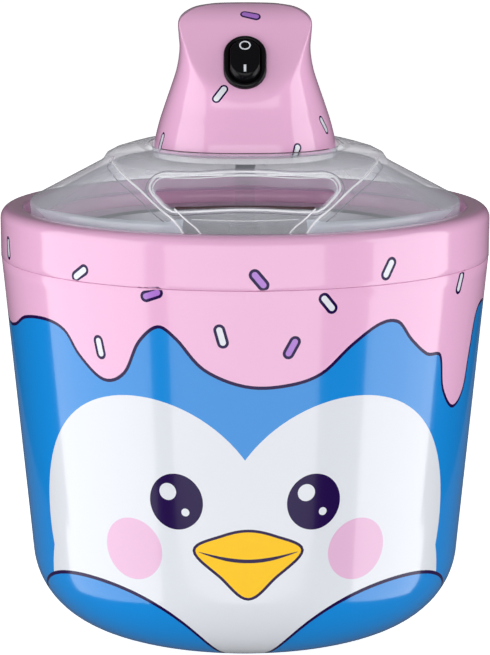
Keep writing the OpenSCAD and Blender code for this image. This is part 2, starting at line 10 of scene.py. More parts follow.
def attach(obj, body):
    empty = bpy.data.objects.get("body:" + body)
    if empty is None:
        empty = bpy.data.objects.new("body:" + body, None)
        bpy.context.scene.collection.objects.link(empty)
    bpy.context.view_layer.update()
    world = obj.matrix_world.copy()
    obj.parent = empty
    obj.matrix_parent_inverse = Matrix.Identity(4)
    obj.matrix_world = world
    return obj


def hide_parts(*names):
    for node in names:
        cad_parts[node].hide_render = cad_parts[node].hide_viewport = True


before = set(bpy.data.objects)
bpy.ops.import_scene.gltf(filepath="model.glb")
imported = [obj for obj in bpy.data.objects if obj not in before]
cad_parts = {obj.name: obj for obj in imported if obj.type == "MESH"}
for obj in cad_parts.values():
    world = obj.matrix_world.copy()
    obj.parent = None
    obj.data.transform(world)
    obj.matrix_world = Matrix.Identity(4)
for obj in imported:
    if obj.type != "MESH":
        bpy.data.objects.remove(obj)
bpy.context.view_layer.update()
MM = 0.001


# ---------------------------------------------------------------- materials

def new_material(name):
    """A node material, its tree and its Principled shader."""
    m = bpy.data.materials.new(name)
    m.use_nodes = True
    nt = m.node_tree
    return m, nt, nt.nodes["Principled BSDF"]


def noise(nt, scale, detail=2.0):
    """Noise over the piece's own coordinates."""
    co = nt.nodes.new("ShaderNodeTexCoord")
    n = nt.nodes.new("ShaderNodeTexNoise")
    n.inputs["Scale"].default_value = scale
    n.inputs["Detail"].default_value = detail
    nt.links.new(co.outputs["Object"], n.inputs["Vector"])
    return n


def vary(nt, bsdf, color, n, amount):
    """Colour that drifts slightly with the noise."""
    mix = nt.nodes.new("ShaderNodeMix")
    mix.data_type = "RGBA"
    mix.inputs["A"].default_value = (*[c * (1 - amount) for c in color], 1)
    mix.inputs["B"].default_value = (*[min(1, c * (1 + amount)) for c in color], 1)
    nt.links.new(n.outputs["Fac"], mix.inputs["Factor"])
    nt.links.new(mix.outputs["Result"], bsdf.inputs["Base Color"])


def bump(nt, bsdf, n, strength, distance):
    """Surface relief from the noise."""
    b = nt.nodes.new("ShaderNodeBump")
    b.inputs["Strength"].default_value = strength
    b.inputs["Distance"].default_value = distance
    nt.links.new(n.outputs["Fac"], b.inputs["Height"])
    nt.links.new(b.outputs["Normal"], bsdf.inputs["Normal"])


def rough_range(nt, bsdf, n, low, high):
    """Roughness that drifts with the noise from low to high."""
    r = nt.nodes.new("ShaderNodeMapRange")
    r.inputs["To Min"].default_value = low
    r.inputs["To Max"].default_value = high
    nt.links.new(n.outputs["Fac"], r.inputs["Value"])
    nt.links.new(r.outputs["Result"], bsdf.inputs["Roughness"])


def gloss(name, color, rough=0.13, coat=0.35, amount=0.015, ior=1.5):
    """Glossy moulded plastic: faint colour drift and a very slight moulding ripple."""
    m, nt, b = new_material(name)
    vary(nt, b, color, noise(nt, 30), amount)
    rough_range(nt, b, noise(nt, 60, 4), rough * 0.8, rough * 1.25)
    bump(nt, b, noise(nt, 14, 1), 0.05, 0.0006)
    b.inputs["IOR"].default_value = ior
    b.inputs["Coat Weight"].default_value = coat
    b.inputs["Coat Roughness"].default_value = 0.04
    return m


def satin(name, color, rough=0.45, amount=0.03, grain=900, depth=0.00006):
    """Satin plastic, rubber or foam with a fine grain."""
    m, nt, b = new_material(name)
    n = noise(nt, grain, 3)
    vary(nt, b, color, noise(nt, 45), amount)
    rough_range(nt, b, n, rough * 0.85, min(1, rough * 1.15))
    bump(nt, b, n, 0.35, depth)
    return m


def metal(name, color, rough=0.28, stretch=(1, 1, 40), grain=320):
    """Turned or drawn metal with fine lines across the stretched axis."""
    m, nt, b = new_material(name)
    co = nt.nodes.new("ShaderNodeTexCoord")
    mp = nt.nodes.new("ShaderNodeMapping")
    mp.inputs["Scale"].default_value = stretch
    n = nt.nodes.new("ShaderNodeTexNoise")
    n.inputs["Scale"].default_value = grain
    n.inputs["Detail"].default_value = 3
    nt.links.new(co.outputs["Object"], mp.inputs["Vector"])
    nt.links.new(mp.outputs["Vector"], n.inputs["Vector"])
    vary(nt, b, color, noise(nt, 25), 0.04)
    rough_range(nt, b, n, rough * 0.75, rough * 1.3)
    bump(nt, b, n, 0.12, 0.00005)
    b.inputs["Metallic"].default_value = 1.0
    return m


def clear(name, tint, rough=0.03, face_on=0.07, edge_on=0.9, power=3.0):
    """Clear moulded plastic: lets light through face on and mirrors towards its edges."""
    m, nt, b = new_material(name)
    vary(nt, b, (0.86, 0.90, 0.97), noise(nt, 12), 0.01)
    rough_range(nt, b, noise(nt, 40), rough * 0.5, rough * 1.5)
    b.inputs["IOR"].default_value = 2.0
    through = nt.nodes.new("ShaderNodeBsdfTransparent")
    mix = nt.nodes.new("ShaderNodeMix")
    mix.data_type = "RGBA"
    mix.inputs["A"].default_value = (*[c * 0.99 for c in tint], 1)
    mix.inputs["B"].default_value = (*tint, 1)
    nt.links.new(noise(nt, 12).outputs["Fac"], mix.inputs["Factor"])
    nt.links.new(mix.outputs["Result"], through.inputs["Color"])
    lw = nt.nodes.new("ShaderNodeLayerWeight")
    lw.inputs["Blend"].default_value = 0.5
    pw = nt.nodes.new("ShaderNodeMath")
    pw.operation = "POWER"
    pw.inputs[1].default_value = power
    share = nt.nodes.new("ShaderNodeMapRange")
    share.inputs["To Min"].default_value = face_on
    share.inputs["To Max"].default_value = edge_on
    nt.links.new(lw.outputs["Facing"], pw.inputs[0])
    nt.links.new(pw.outputs["Value"], share.inputs["Value"])
    both = nt.nodes.new("ShaderNodeMixShader")
    nt.links.new(share.outputs["Result"], both.inputs["Fac"])
    nt.links.new(through.outputs["BSDF"], both.inputs[1])
    nt.links.new(b.outputs["BSDF"], both.inputs[2])
    nt.links.new(both.outputs["Shader"], nt.nodes["Material Output"].inputs["Surface"])
    return m


def edge_glint(name, color, alpha):
    """Painted highlight: pale semi-opaque plastic for the edges of clear plastic, standing in for
    the light they catch.
    """
    m, nt, b = new_material(name)
    vary(nt, b, color, noise(nt, 40), 0.03)
    b.inputs["Roughness"].default_value = 0.12
    b.inputs["IOR"].default_value = 1.6
    b.inputs["Alpha"].default_value = alpha
    return m


MATS = {
    "pink": gloss("pink_gloss", (0.82, 0.45, 0.68)),
    "blue": gloss("blue_gloss", (0.004, 0.24, 0.68)),
    "white": gloss("white_print", (0.73, 0.755, 0.81)),
    "navy": gloss("navy_print", (0.014, 0.002, 0.06), coat=0.05, ior=1.32),
    "yellow": gloss("yellow_print", (0.96, 0.56, 0.004), coat=0.05, ior=1.32),
    "cheek": gloss("cheek_print", (0.76, 0.46, 0.67)),
    "lilac": gloss("lilac_print", (0.40, 0.17, 0.62)),
    # painted shade: dark lines along the lid opening's front edge and along the socket's rim
    "edge_shade": gloss("lid_edge_painted_shade", (0.055, 0.022, 0.028), rough=0.2, coat=0.0),
    "black": gloss("black_gloss", (0.003, 0.003, 0.004), rough=0.18, coat=0.0, ior=1.3),
    "white_plastic": gloss("white_moulding", (0.82, 0.83, 0.83), rough=0.25, coat=0.1),
    "nylon": satin("natural_nylon", (0.78, 0.77, 0.70), 0.4, grain=500),
    "rubber": satin("black_rubber", (0.018, 0.018, 0.02), 0.7, grain=1400),
    "silicone": satin("blue_silicone", (0.30, 0.58, 0.80), 0.35, grain=700),
    "foam": satin("cream_foam", (0.82, 0.74, 0.50), 0.85, grain=350, depth=0.0004),
    "gel": gloss("frozen_gel", (0.28, 0.55, 0.78), rough=0.3),
    "aluminium": metal("spun_aluminium", (0.60, 0.61, 0.63), 0.3, (1, 1, 60)),
    "steel": metal("plated_steel", (0.56, 0.57, 0.59), 0.3, (30, 30, 1)),
    "bronze": metal("sintered_bronze", (0.55, 0.34, 0.12), 0.4, (1, 1, 1)),
    "copper": metal("copper_parts", (0.62, 0.30, 0.16), 0.35, (20, 20, 1)),
    "ferrite": satin("ferrite", (0.05, 0.05, 0.055), 0.6, grain=800),
    "board": satin("board_green", (0.03, 0.16, 0.06), 0.4, grain=600),
    "wire": satin("wire_sleeve", (0.015, 0.04, 0.25), 0.45),
    "clear": clear("clear_lid_plastic", (0.98, 0.98, 0.99)),
    # painted highlights: pale semi-opaque bands and beads on the clear lid, for the light its edges
    # catch
    "clear_rim": edge_glint("clear_rim_plastic", (0.70, 0.76, 0.84), 0.62),
    "clear_rib": edge_glint("clear_rib_plastic", (0.90, 0.90, 0.94), 0.7),
    # painted shade: a darker tint for the lines at the foot of the lid's raised edges and around
    # its opening
    "clear_line": clear("clear_edge_plastic", (0.62, 0.58, 0.63), 0.1, 0.1, 0.5, 2.0),
    "clear_paddle": clear("clear_paddle_plastic", (0.98, 0.98, 0.985), 0.08, 0.02, 0.35),
    "clear_seal": clear("clear_seal_silicone", (0.93, 0.96, 0.98), 0.2, 0.05, 0.4),
}

CAD_LOOKS = {
    "white_plastic": ["bowl_well_liner", "base_plate", "motor_base_cover"],
    "nylon": ["motor_end_cap", "rotor_pinion", "idler_gear", "output_gear"],
    "rubber": ["bowl_seat_ring", "rubber_feet", "bowl_rim_seal", "coolant_fill_plug", "cord_gland"],
    "silicone": ["paddle_wipers"],
    "clear_seal": ["lid_seal_ring"],
    "foam": ["insulation_foam"],
    "gel": ["coolant_gel"],
    "aluminium": ["bowl_outer_shell", "bowl_inner_shell"],
    "steel": ["base_screws", "cover_screws", "gear_plate", "gear_plate_spacers", "idler_axle",
              "motor_can", "rotor_shaft", "drive_shaft"],
    "bronze": ["output_bush", "motor_terminals", "switch_terminals"],
    "copper": ["armature_core", "commutator"],
    "ferrite": ["motor_magnets"],
    "board": ["rectifier_board"],
    "wire": ["internal_wires"],
    "clear": ["clear_lid"],
    "clear_paddle": ["mixing_paddle", "drive_coupling"],
    "black": ["switch_bezel", "switch_rocker"],
    "pink": ["collar_ring", "motor_head_shell"],
    "blue": ["outer_housing"],
}
for look, nodes in CAD_LOOKS.items():
    for node in nodes:
        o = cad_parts[node]
        o.data.materials.clear()
        o.data.materials.append(MATS[look])
        if look.startswith("clear"):
            o.visible_shadow = False


# ---------------------------------------------------------------- printed skins

def catmull(pts, closed=False, step=8):
    """Smooth curve through given points."""
    p = [np.array(q, float) for q in pts]
    n = len(p)
    out = []
    for i in range(n if closed else n - 1):
        a, b, c, d = (p[(i + k) % n] if closed else p[min(max(i + k, 0), n - 1)]
                      for k in (-1, 0, 1, 2))
        for t in np.arange(step) / step:
            out.append(0.5 * (2 * b + (c - a) * t + (2 * a - 5 * b + 4 * c - d) * t * t
                              + (3 * b - a - 3 * c + d) * t ** 3))
    if not closed:
        out.append(p[-1])
    return np.array(out)


def offset(pts, d):
    """Closed outline moved outwards by d (points run anticlockwise)."""
    t = np.roll(pts, -1, 0) - np.roll(pts, 1, 0)
    t /= np.linalg.norm(t, axis=1)[:, None] + 1e-12
    return pts + d * np.column_stack((t[:, 1], -t[:, 0]))


def ellipse(cx, cy, a, b, n=64):
    t = np.linspace(0, 2 * math.pi, n, endpoint=False)
    return np.column_stack((cx + a * np.cos(t), cy + b * np.sin(t)))


def capsule(length, width, deg, n=12):
    """Round-ended bar about the origin, turned by deg."""
    r = width / 2
    h = length / 2 - r
    a = np.linspace(-90, 90, n)
    right = [(h + r * math.cos(math.radians(k)), r * math.sin(math.radians(k))) for k in a]
    pts = np.array(right + [(-x, -y) for x, y in right])
    c, s = math.cos(math.radians(deg)), math.sin(math.radians(deg))
    return np.column_stack((pts[:, 0] * c - pts[:, 1] * s, pts[:, 0] * s + pts[:, 1] * c))


def inside(poly, pts):
    """Which of the points lie within a closed outline."""
    x, y = pts[:, 0], pts[:, 1]
    hit = np.zeros(len(pts), bool)
    for (x0, y0), (x1, y1) in zip(poly, np.roll(poly, -1, 0)):
        if y0 == y1:
            continue
        cross = (y0 > y) != (y1 > y)
        hit ^= cross & (x < (x1 - x0) * (y - y0) / (y1 - y0) + x0)
    return hit


def printed_skin(name, surf, us, vs, shapes, base, keep_off=0.8, pole=False, closed=False,
                 kept=()):
    """A mesh over the grid us, vs with the outlines of shapes cut into it as colour borders.

    surf(u, v) gives points in mm; shapes are (outline in u, v, material or None for a hole).
    Grid points nearer than keep_off to an outline are left out, except on the kept rows.
    The first and last columns are joined; closed joins the first and last rows as well, and
    pole gathers the last row in one point.
    """
    grid = np.array([(u, v) for u in us for v in vs])
    clear_of = np.ones(len(grid), bool)
    lines = []
    for poly, _ in shapes:
        ring = np.column_stack((np.clip(poly[:, 0], us[0], us[-1]),
                                np.clip(poly[:, 1], vs[0], vs[-1])))
        lines.append(ring)
        lo, hi = ring.min(0) - keep_off, ring.max(0) + keep_off
        near = np.where(((grid > lo) & (grid < hi)).all(1))[0]
        a, b = ring, np.roll(ring, -1, 0)
        for i in near:
            p = grid[i]
            if (abs(p[0]) == abs(us[0]) or p[1] in (vs[0], vs[-1])
                    or any(abs(p[1] - k) < 1e-5 for k in kept)):
                continue
            t = np.clip(((p - a) * (b - a)).sum(1) / (((b - a) ** 2).sum(1) + 1e-12), 0, 1)
            q = a + t[:, None] * (b - a)
            if (np.abs(q - p).max(1)).min() < keep_off:
                clear_of[i] = False
    verts = list(grid[clear_of])
    edges = []
    for ring in lines:
        k = len(verts)
        verts += list(ring)
        edges += [(k + i, k + (i + 1) % len(ring)) for i in range(len(ring))]
    out = delaunay_2d_cdt([Vector(v) for v in verts], edges, [], 0, 1e-5, False)
    uv = np.array([tuple(v) for v in out[0]])
    faces = [f for f in out[2] if len(f) >= 3]
    mid = np.array([uv[list(f)].mean(0) for f in faces])
    slot_names = [base]
    index = np.zeros(len(faces), int)
    for (_, look), ring in zip(shapes, lines):
        hit = inside(ring, mid)
        if look is None:
            index[hit] = -1
            continue
        if look not in slot_names:
            slot_names.append(look)
        index[hit] = slot_names.index(look)
    pts = surf(uv[:, 0], uv[:, 1])
    e = 0.02
    du_v = surf(uv[:, 0] + e, uv[:, 1]) - surf(uv[:, 0] - e, uv[:, 1])
    dv_v = surf(uv[:, 0], uv[:, 1] + e) - surf(uv[:, 0], uv[:, 1] - e)
    nrm = np.cross(du_v, dv_v)
    nrm /= np.linalg.norm(nrm, axis=1)[:, None] + 1e-12
    remap = np.arange(len(pts))
    tol = 1e-4
    left = {round(v, 5): i for i, (u, v) in enumerate(uv) if abs(u - us[0]) < tol}
    for i, (u, v) in enumerate(uv):
        if abs(u - us[-1]) < tol and round(v, 5) in left:
            remap[i] = left[round(v, 5)]
    if closed:
        start = {round(u, 5): i for i, (u, v) in enumerate(uv) if v < vs[0] + tol}
        for i, (u, v) in enumerate(uv):
            if v > vs[-1] - tol and round(u, 5) in start:
                remap[i] = remap[start[round(u, 5)]]
    if pole:
        tip = np.where(uv[:, 1] > vs[-1] - tol)[0]
        remap[tip] = tip[0]
        nrm[tip[0]] = (0, 0, 1)
    tris, mats = [], []
    for f, k in zip(faces, index):
        g = [int(remap[i]) for i in f]
        if k >= 0 and len(set(g)) == len(g):
            tris.append(g)
            mats.append(int(k))
    used = sorted({i for f in tris for i in f})
    first = {v: i for i, v in enumerate(used)}
    me = bpy.data.meshes.new(name)
    me.from_pydata([tuple(pts[i] * MM) for i in used], [], [[first[i] for i in f] for f in tris])
    for s in slot_names:
        me.materials.append(MATS[s])
    me.polygons.foreach_set("material_index", mats)
    me.polygons.foreach_set("use_smooth", [True] * len(tris))
    me.update()
    me.normals_split_custom_set_from_vertices([tuple(nrm[i]) for i in used])
    o = bpy.data.objects.new(name, me)
    bpy.context.scene.collection.objects.link(o)
    return o


def profile_surf(profile):
    """Surface of revolution: u is degrees from the front, v is length along the profile.

    Returns the surface, the length at each point of the profile, and the points.
    """
    p = np.array(profile, float)
    run = np.concatenate(([0], np.cumsum(np.linalg.norm(np.diff(p, axis=0), axis=1))))

    def surf(u, v):
        r = np.interp(v, run, p[:, 0])
        z = np.interp(v, run, p[:, 1])
        a = np.radians(u)
        return np.column_stack((r * np.sin(a), -r * np.cos(a), z))

    return surf, run, p


def arc(cx, cz, r, a0, a1, n):
    """Points of a round corner from angle a0 to a1, in degrees."""
    t = np.radians(np.linspace(a0, a1, n))
    return [(cx + r * math.cos(k), cz + r * math.sin(k)) for k in t]


# ---- measures of the housing, shared with the CAD: radius of the collar, heights of the seam,
# of the collar's top and of the housing's bottom, lean of the wall in degrees, bottom corner
R, SEAM, TOP, BOTTOM, TAPER, CORNER = 88.0, 136.3, 154.0, 2.0, 5.2, 28.0
LEAN = math.radians(TAPER)
TAN = math.tan(LEAN)
ARC_Z = BOTTOM + CORNER
ARC_X = R + ((ARC_Z - SEAM) * math.sin(LEAN) - CORNER) / math.cos(LEAN)


def wall_radius(z):
    """Outer radius of the housing at a height."""
    z = np.asarray(z, float)
    low = ARC_X + np.sqrt(np.clip(CORNER ** 2 - (z - ARC_Z) ** 2, 0, None))
    return np.where(z > ARC_Z - CORNER * math.sin(LEAN), R - TAN * (SEAM - z), low)


def on_wall(poly_mm, theta0=0.0, z0=0.0):
    """Outline in mm about (theta0, z0) turned into degrees and heights."""
    z = z0 + poly_mm[:, 1]
    r = wall_radius(np.clip(z, 3, SEAM))
    r = np.where(z > SEAM, R, r)
    return np.column_stack((theta0 + np.degrees(poly_mm[:, 0] / r), z))


# ---- the printed pattern: icing edge (degrees from the front, height), a plain bird face, and
# sprinkles (degrees from the front, height, turn, colour)
ICING = [(-180, 113), (-168, 106), (-156, 115), (-144, 122), (-130, 110), (-118, 102), (-108, 112),
         (-98, 121), (-86, 122), (-78, 115), (-70, 115.5), (-62, 120), (-52, 121.5), (-45, 119),
         (-40.5, 111), (-34, 104), (-28.5, 107), (-24.5, 118), (-19.5, 124), (-15, 120),
         (-9, 110), (0, 104.5), (9, 104.5), (17, 108), (24, 117), (31, 123.5), (36.5, 123.5),
         (41, 116.5), (46.5, 110.5), (52, 108.5), (54.5, 96), (60, 88.5), (65.5, 93), (67.5, 106),
         (70, 119), (76, 122.5), (86, 118), (96, 106), (106, 103), (116, 112), (126, 121),
         (136, 121), (146, 110), (154, 96), (161, 92), (168, 102), (174, 111), (180, 113)]

SPRINKLES = [
    (-70, 142, 100, "white"), (-38.8, 139.2, 35, "white"), (-20.5, 134.3, 20, "lilac"),
    (-34.5, 114.5, 100, "white"), (-5.2, 121, 105, "white"), (3, 140, -50, "lilac"),
    (18.2, 131.5, -50, "white"), (32.8, 141.6, 60, "white"), (57.5, 132.6, 72, "white"),
    (10.3, 117, 62, "lilac")]
# round the sides and the back
SPRINKLES += [(95 + 13.5 * k, 127 + 5 * math.sin(2.4 * k), 47 * k, ("white", "lilac")[k % 2])
              for k in range(13)]


def sprinkle_shapes(theta, z, deg, look):
    """A sprinkle's dark outline and its filling."""
    return [(on_wall(capsule(8.4, 4.0, deg), theta, z), "navy"),
            (on_wall(capsule(6.4, 2.0, deg), theta, z), look)]


def face_shapes():
    """White mask and belly, lower wings, cheeks, eyes with two highlights, and closed beak."""
    s = []
    for side in (-1, 1):
        s.append((on_wall(ellipse(0, 0, 46, 49, 96), 26 * side, 50), "white"))
    belly = catmull([(-80.4, 38), (-78, 14), (-50, 5.5), (0, 4.2), (50, 5.5), (78, 14), (80.4, 38),
                     (60, 62), (0, 66), (-60, 62)], True)
    s.append((on_wall(belly), "white"))
    for side in (-1, 1):
        wing, eye = (43 * side, 9), (16.6 * side, 63)
        s.append((on_wall(ellipse(0, 0, 40.5, 22.5, 96), *wing), "navy"))
        s.append((on_wall(ellipse(0, 0, 39.2, 21.2, 96), *wing), "blue"))
        s.append((on_wall(ellipse(0, 0, 11, 11), 28.6 * side, 44.5), "cheek"))
        s.append((on_wall(ellipse(0, 0, 9.4, 9.9), *eye), "navy"))
        s.append((on_wall(ellipse(-2.8, 3.4, 3.0, 3.0, 32), *eye), "white"))
        s.append((on_wall(ellipse(3.2, -3.6, 1.4, 1.4, 24), *eye), "white"))
    mouth = (0.8, 42)
    beak = catmull([(-18, 4), (-9, -5), (0, -12.5), (9, -5), (18, 4), (9, 9), (0, 11),
                    (-9, 9)], True)
    s.append((on_wall(offset(beak, 1.0), *mouth), "navy"))
    s.append((on_wall(beak, *mouth), "yellow"))
    line = catmull([(-17, 3.6), (-8, 0.8), (0, 0), (8, 0.8), (17, 3.6), (8, 2.0), (0, 1.3),
                    (-8, 2.0)], True)
    s.append((on_wall(line, *mouth), "navy"))
    return s


def icing_shapes(top):
    """The icing with a dark line along its lower edge, up to the height top."""
    line, scale = 1.15, [math.pi * R / 180, 1]
    edge = catmull(ICING, step=6)
    mm = edge * scale
    t = np.gradient(mm, axis=0)
    t /= np.linalg.norm(t, axis=1)[:, None]
    low = (mm + line * np.column_stack((t[:, 1], -t[:, 0]))) / scale
    low[0], low[-1] = (-180, edge[0, 1] - line), (180, edge[-1, 1] - line)
    cap = [(180, top), (-180, top)]
    return [(np.vstack((low, cap)), "navy"), (np.vstack((edge, cap)), "pink")]


def housing():
    """Outer wall with the print, rounded into the bottom, and inner wall."""
    inset, wall, steps = 0.1, 2.4, 22
    foot = [(33, 4.4), (33, 2.5), (33.3, 2.2)]
    prof = foot + arc(ARC_X, ARC_Z, CORNER - inset, -90, -TAPER, steps)
    prof += [(R - inset - TAN * 0.2, SEAM - 0.2), (R - inset - 0.12, SEAM - 0.06),
             (R - 1.0, SEAM - 0.04), (R - wall, SEAM - 0.2)]
    prof += [(R - 2.5 - TAN * 6, SEAM - 6)]
    prof += arc(ARC_X, ARC_Z, CORNER - wall, -TAPER, -90, 12)
    prof += foot[:1]
    surf, run, p = profile_surf(prof)
    low = len(foot)
    high = low + steps
    inner = high + 4
    # the icing's hidden upper edge lies on the inner wall's first row
    icing_top = SEAM + 1
    heights = np.append(p[low:high + 1, 1], icing_top)
    lengths = np.append(run[low:high + 1], round(run[inner], 6))

    def lay(shape):
        poly, look = shape
        v = np.interp(poly[:, 1], heights, lengths)
        return np.column_stack((poly[:, 0], v)), look

    shapes = icing_shapes(icing_top) + face_shapes()
    for sp in SPRINKLES:
        if sp[1] < SEAM + 4:
            for poly, look in sprinkle_shapes(*sp):
                shapes.append((np.minimum(poly, [1e3, SEAM - 0.3]), look))
    shapes = [lay(s) for s in shapes]
    us = np.linspace(-180, 180, 241)
    vs = np.unique(np.round(np.concatenate((run, np.linspace(run[high - 1], run[high], 26))), 6))
    o = printed_skin("housing_skin", surf, us, vs, shapes, "blue", kept=run[high:inner + 1])
    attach(o, "base")
    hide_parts("outer_housing")


def collar():
    """Ring with a rounded top, the ledge under the lid, and the skirts inside the housing."""
    prof = [(R - 1.0, SEAM + 0.05), (R - 0.12, SEAM + 0.07), (R, SEAM + 0.25)]
    prof += arc(R - 4, TOP - 4, 4, 0, 90, 12)
    prof += arc(80.6, TOP - 1.2, 1.2, 90, 180, 6)
    prof += [(79.2, 150.2), (79.0, 149.6), (78.4, 149.5), (76.4, 149.5), (75.9, 149.3),
             (75.6, 148.8), (75.6, 138), (77.6, 138), (77.6, 147.3), (81.2, 150.6), (83.4, 151.1),
             (85.2, 149), (85.2, 138), (82.7, 137), (82.5, 131.5), (84.4, 131.5),
             (85.1, SEAM + 0.05), (R - 1.0, SEAM + 0.05)]
    surf, run, p = profile_surf(prof)
    side = slice(1, 6)  # points that climb the ring's outer side
    shapes = []
    for sp in SPRINKLES:
        if sp[1] > SEAM - 4:
            for poly, look in sprinkle_shapes(*sp):
                v = np.interp(np.maximum(poly[:, 1], SEAM + 0.4), p[side, 1], run[side])
                shapes.append((np.column_stack((poly[:, 0], v)), look))
    us = np.linspace(-180, 180, 241)
    vs = np.unique(np.round(np.concatenate((run, np.linspace(run[2], run[3], 8))), 6))
    o = printed_skin("collar_skin", surf, us, vs, shapes, "pink", kept=run[:3])
    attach(o, "base")
    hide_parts("collar_ring")


# ---- motor head: height, half width, back depth, front depth, front plan exponent
HEAD = np.array([(174, 32.6, 37, 37, 2.44), (178, 32.2, 36.4, 36.4, 2.44),
                 (184, 30.7, 34.2, 34.2, 2.5), (190, 28.7, 31.6, 31.8, 2.56),
                 (196, 26.6, 29.4, 30.2, 2.7), (202, 24.6, 27.6, 28.8, 2.94),
                 (207, 23.6, 26.7, 27.8, 3.2), (211, 23.3, 26.3, 27, 3.4),
                 (215, 23.6, 26, 26.5, 3.5), (219.5, 23.7, 25.4, 26, 3.5),
                 (222.2, 21.9, 23.4, 23.4, 2.9), (224.3, 18, 19.2, 19.2, 2.44),
                 (225.3, 12.6, 13.4, 13.4, 2.44)])
SWITCH = Vector((0, -22.8, 205.8))
SWITCH_TILT = math.radians(35)
BROW = 16  # radius of the bend between the leaning face and the top
BROW_UP = 16.2  # distance from the switch up the face to that bend
BACK_PLAN = 2.44  # plan exponent of the back


def head_sections(step=6):
    """Smooth sections from the lower edge to the middle of the top."""
    rows = catmull([tuple(h) for h in HEAD], step=step)
    edge = [(174.6, 30.4, 34.8, 34.8, 2.44), (174.0, 30.6, 35.0, 35.0, 2.44),
            (173.95, 31.6, 36.0, 36.0, 2.44), (174.05, 32.3, 36.7, 36.7, 2.44)]
    top = [(225.52, 8.4, 8.9, 8.9, 2.3), (225.62, 4.2, 4.4, 4.4, 2.1), (225.66, 0, 0, 0, 2)]
    return np.vstack((edge, rows[1:], top))


def switch_axes():
    """The face's directions: across, up along it, and out of it."""
    up = np.array([0, math.sin(SWITCH_TILT), math.cos(SWITCH_TILT)])
    out = np.array([0, -math.cos(SWITCH_TILT), math.sin(SWITCH_TILT)])
    return np.array([1.0, 0, 0]), up, out


def face_depth(z):
    """Depth of the leaning front face, and of its bend into the top, at a height."""
    c, s = math.cos(SWITCH_TILT), math.sin(SWITCH_TILT)
    y0, z0 = SWITCH[1] + BROW_UP * s + BROW * c, SWITCH[2] + BROW_UP * c - BROW * s
    flat = SWITCH[1] + (z - SWITCH[2]) * math.tan(SWITCH_TILT)
    bend = y0 - np.sqrt(np.maximum(BROW ** 2 - (z - z0) ** 2, 0))
    return np.where(z < SWITCH[2] + BROW_UP * c, flat, bend)


def head_surf():
    """The head's surface, the length at each of its sections, and the sections."""
    rows = head_sections()
    run = np.concatenate(([0], np.cumsum(np.hypot(np.diff(rows[:, 0]), np.diff(rows[:, 1])))))

    def surf(u, v):
        z, a, b, bf, e = (np.interp(v, run, rows[:, k]) for k in range(5))
        f = np.radians(u)
        sn, cs = np.sin(f), np.cos(f)
        e = np.where(cs > 0, e, BACK_PLAN)
        a, b = np.maximum(a, 1e-6), np.maximum(np.where(cs > 0, bf, b), 1e-6)
        r = (np.abs(sn / a) ** e + np.abs(cs / b) ** e) ** (-1 / e)
        y, face = -r * cs, face_depth(z)
        soft = np.clip(a / 12, 0.02, 1) * 0.45
        y = np.maximum(y, face) + soft * np.log1p(np.exp(-np.abs(y - face) / soft))
        return np.column_stack((r * sn, y, z))

    return surf, run, rows


def place_on(surf, u0, v0):
    """Maps an outline in mm to the grid of a surface, around a point of it."""
    e = 0.05
    p = surf(np.array([u0, u0 + e, u0]), np.array([v0, v0, v0 + e]))
    du, dv = (p[1] - p[0]) / e, (p[2] - p[0]) / e
    e1 = du / np.linalg.norm(du)
    e2 = dv - (dv @ e1) * e1
    e2 /= np.linalg.norm(e2)
    grid = np.linalg.inv(np.array([[du @ e1, dv @ e1], [du @ e2, dv @ e2]]))
    return lambda poly: np.array([u0, v0]) + np.asarray(poly) @ grid.T


def head_point(surf, run, rows, x, z):
    """Grid position of the point of the head's front at x and height z."""
    v = float(np.interp(z, rows[4:-3, 0], run[4:-3]))
    u = np.linspace(-89, 89, 713)
    return float(np.interp(x, surf(u, np.full(len(u), v))[:, 0], u)), v


# x and height on the front, or degrees and height elsewhere; turn; colour
HEAD_SPRINKLES = [("x", -8.6, 195.7, 55, "white"), ("x", 1.8, 221.9, -16, "lilac"),
                  ("u", -58, 177.9, 72, "white"), ("x", 18, 175.4, 78, "white"),
                  ("u", 56, 184, -62, "white"), ("u", -84, 204, 20, "lilac"),
                  ("u", 95, 203, 60, "white"), ("u", 118, 184, 15, "white"),
                  ("u", 150, 206, 100, "lilac"), ("u", 172, 188, 40, "white"),
                  ("u", -160, 210, -20, "white"), ("u", -135, 190, 70, "lilac"),
                  ("u", -108, 213, 35, "white")]


def motor_head():
    """Shell of the head with its sprinkles and the switch's cut-out."""
    surf, run, rows = head_surf()
    shapes = []
    for kind, at, z, deg, look in HEAD_SPRINKLES:
        u0, v0 = head_point(surf, run, rows, at, z)
        if kind == "u":
            u0 = at
        place = place_on(surf, u0, v0)
        shapes += [(place(capsule(7.4, 3.2, deg)), "navy"), (place(capsule(6.2, 1.9, deg)), look)]
    rise = math.cos(SWITCH_TILT)
    ring = [head_point(surf, run, rows, x, SWITCH[2] + s * rise)
            for x, s in capsule(20.2, 14.2, 90, 24)]
    shapes.append((np.array(ring), None))
    us = np.linspace(-180, 180, 181)
    o = printed_skin("motor_head_skin", surf, us, np.unique(np.round(run, 6)), shapes, "pink",
                     keep_off=0.5, pole=True)
    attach(o, "motor_head")
    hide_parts("motor_head_shell")


def switch_point(x, s, n):
    """Point in metres at x across, s up the face and n out of it, from the switch's middle."""
    ax, up, out = switch_axes()
    return tuple((np.array(SWITCH) + x * ax + s * up + n * out) * MM)


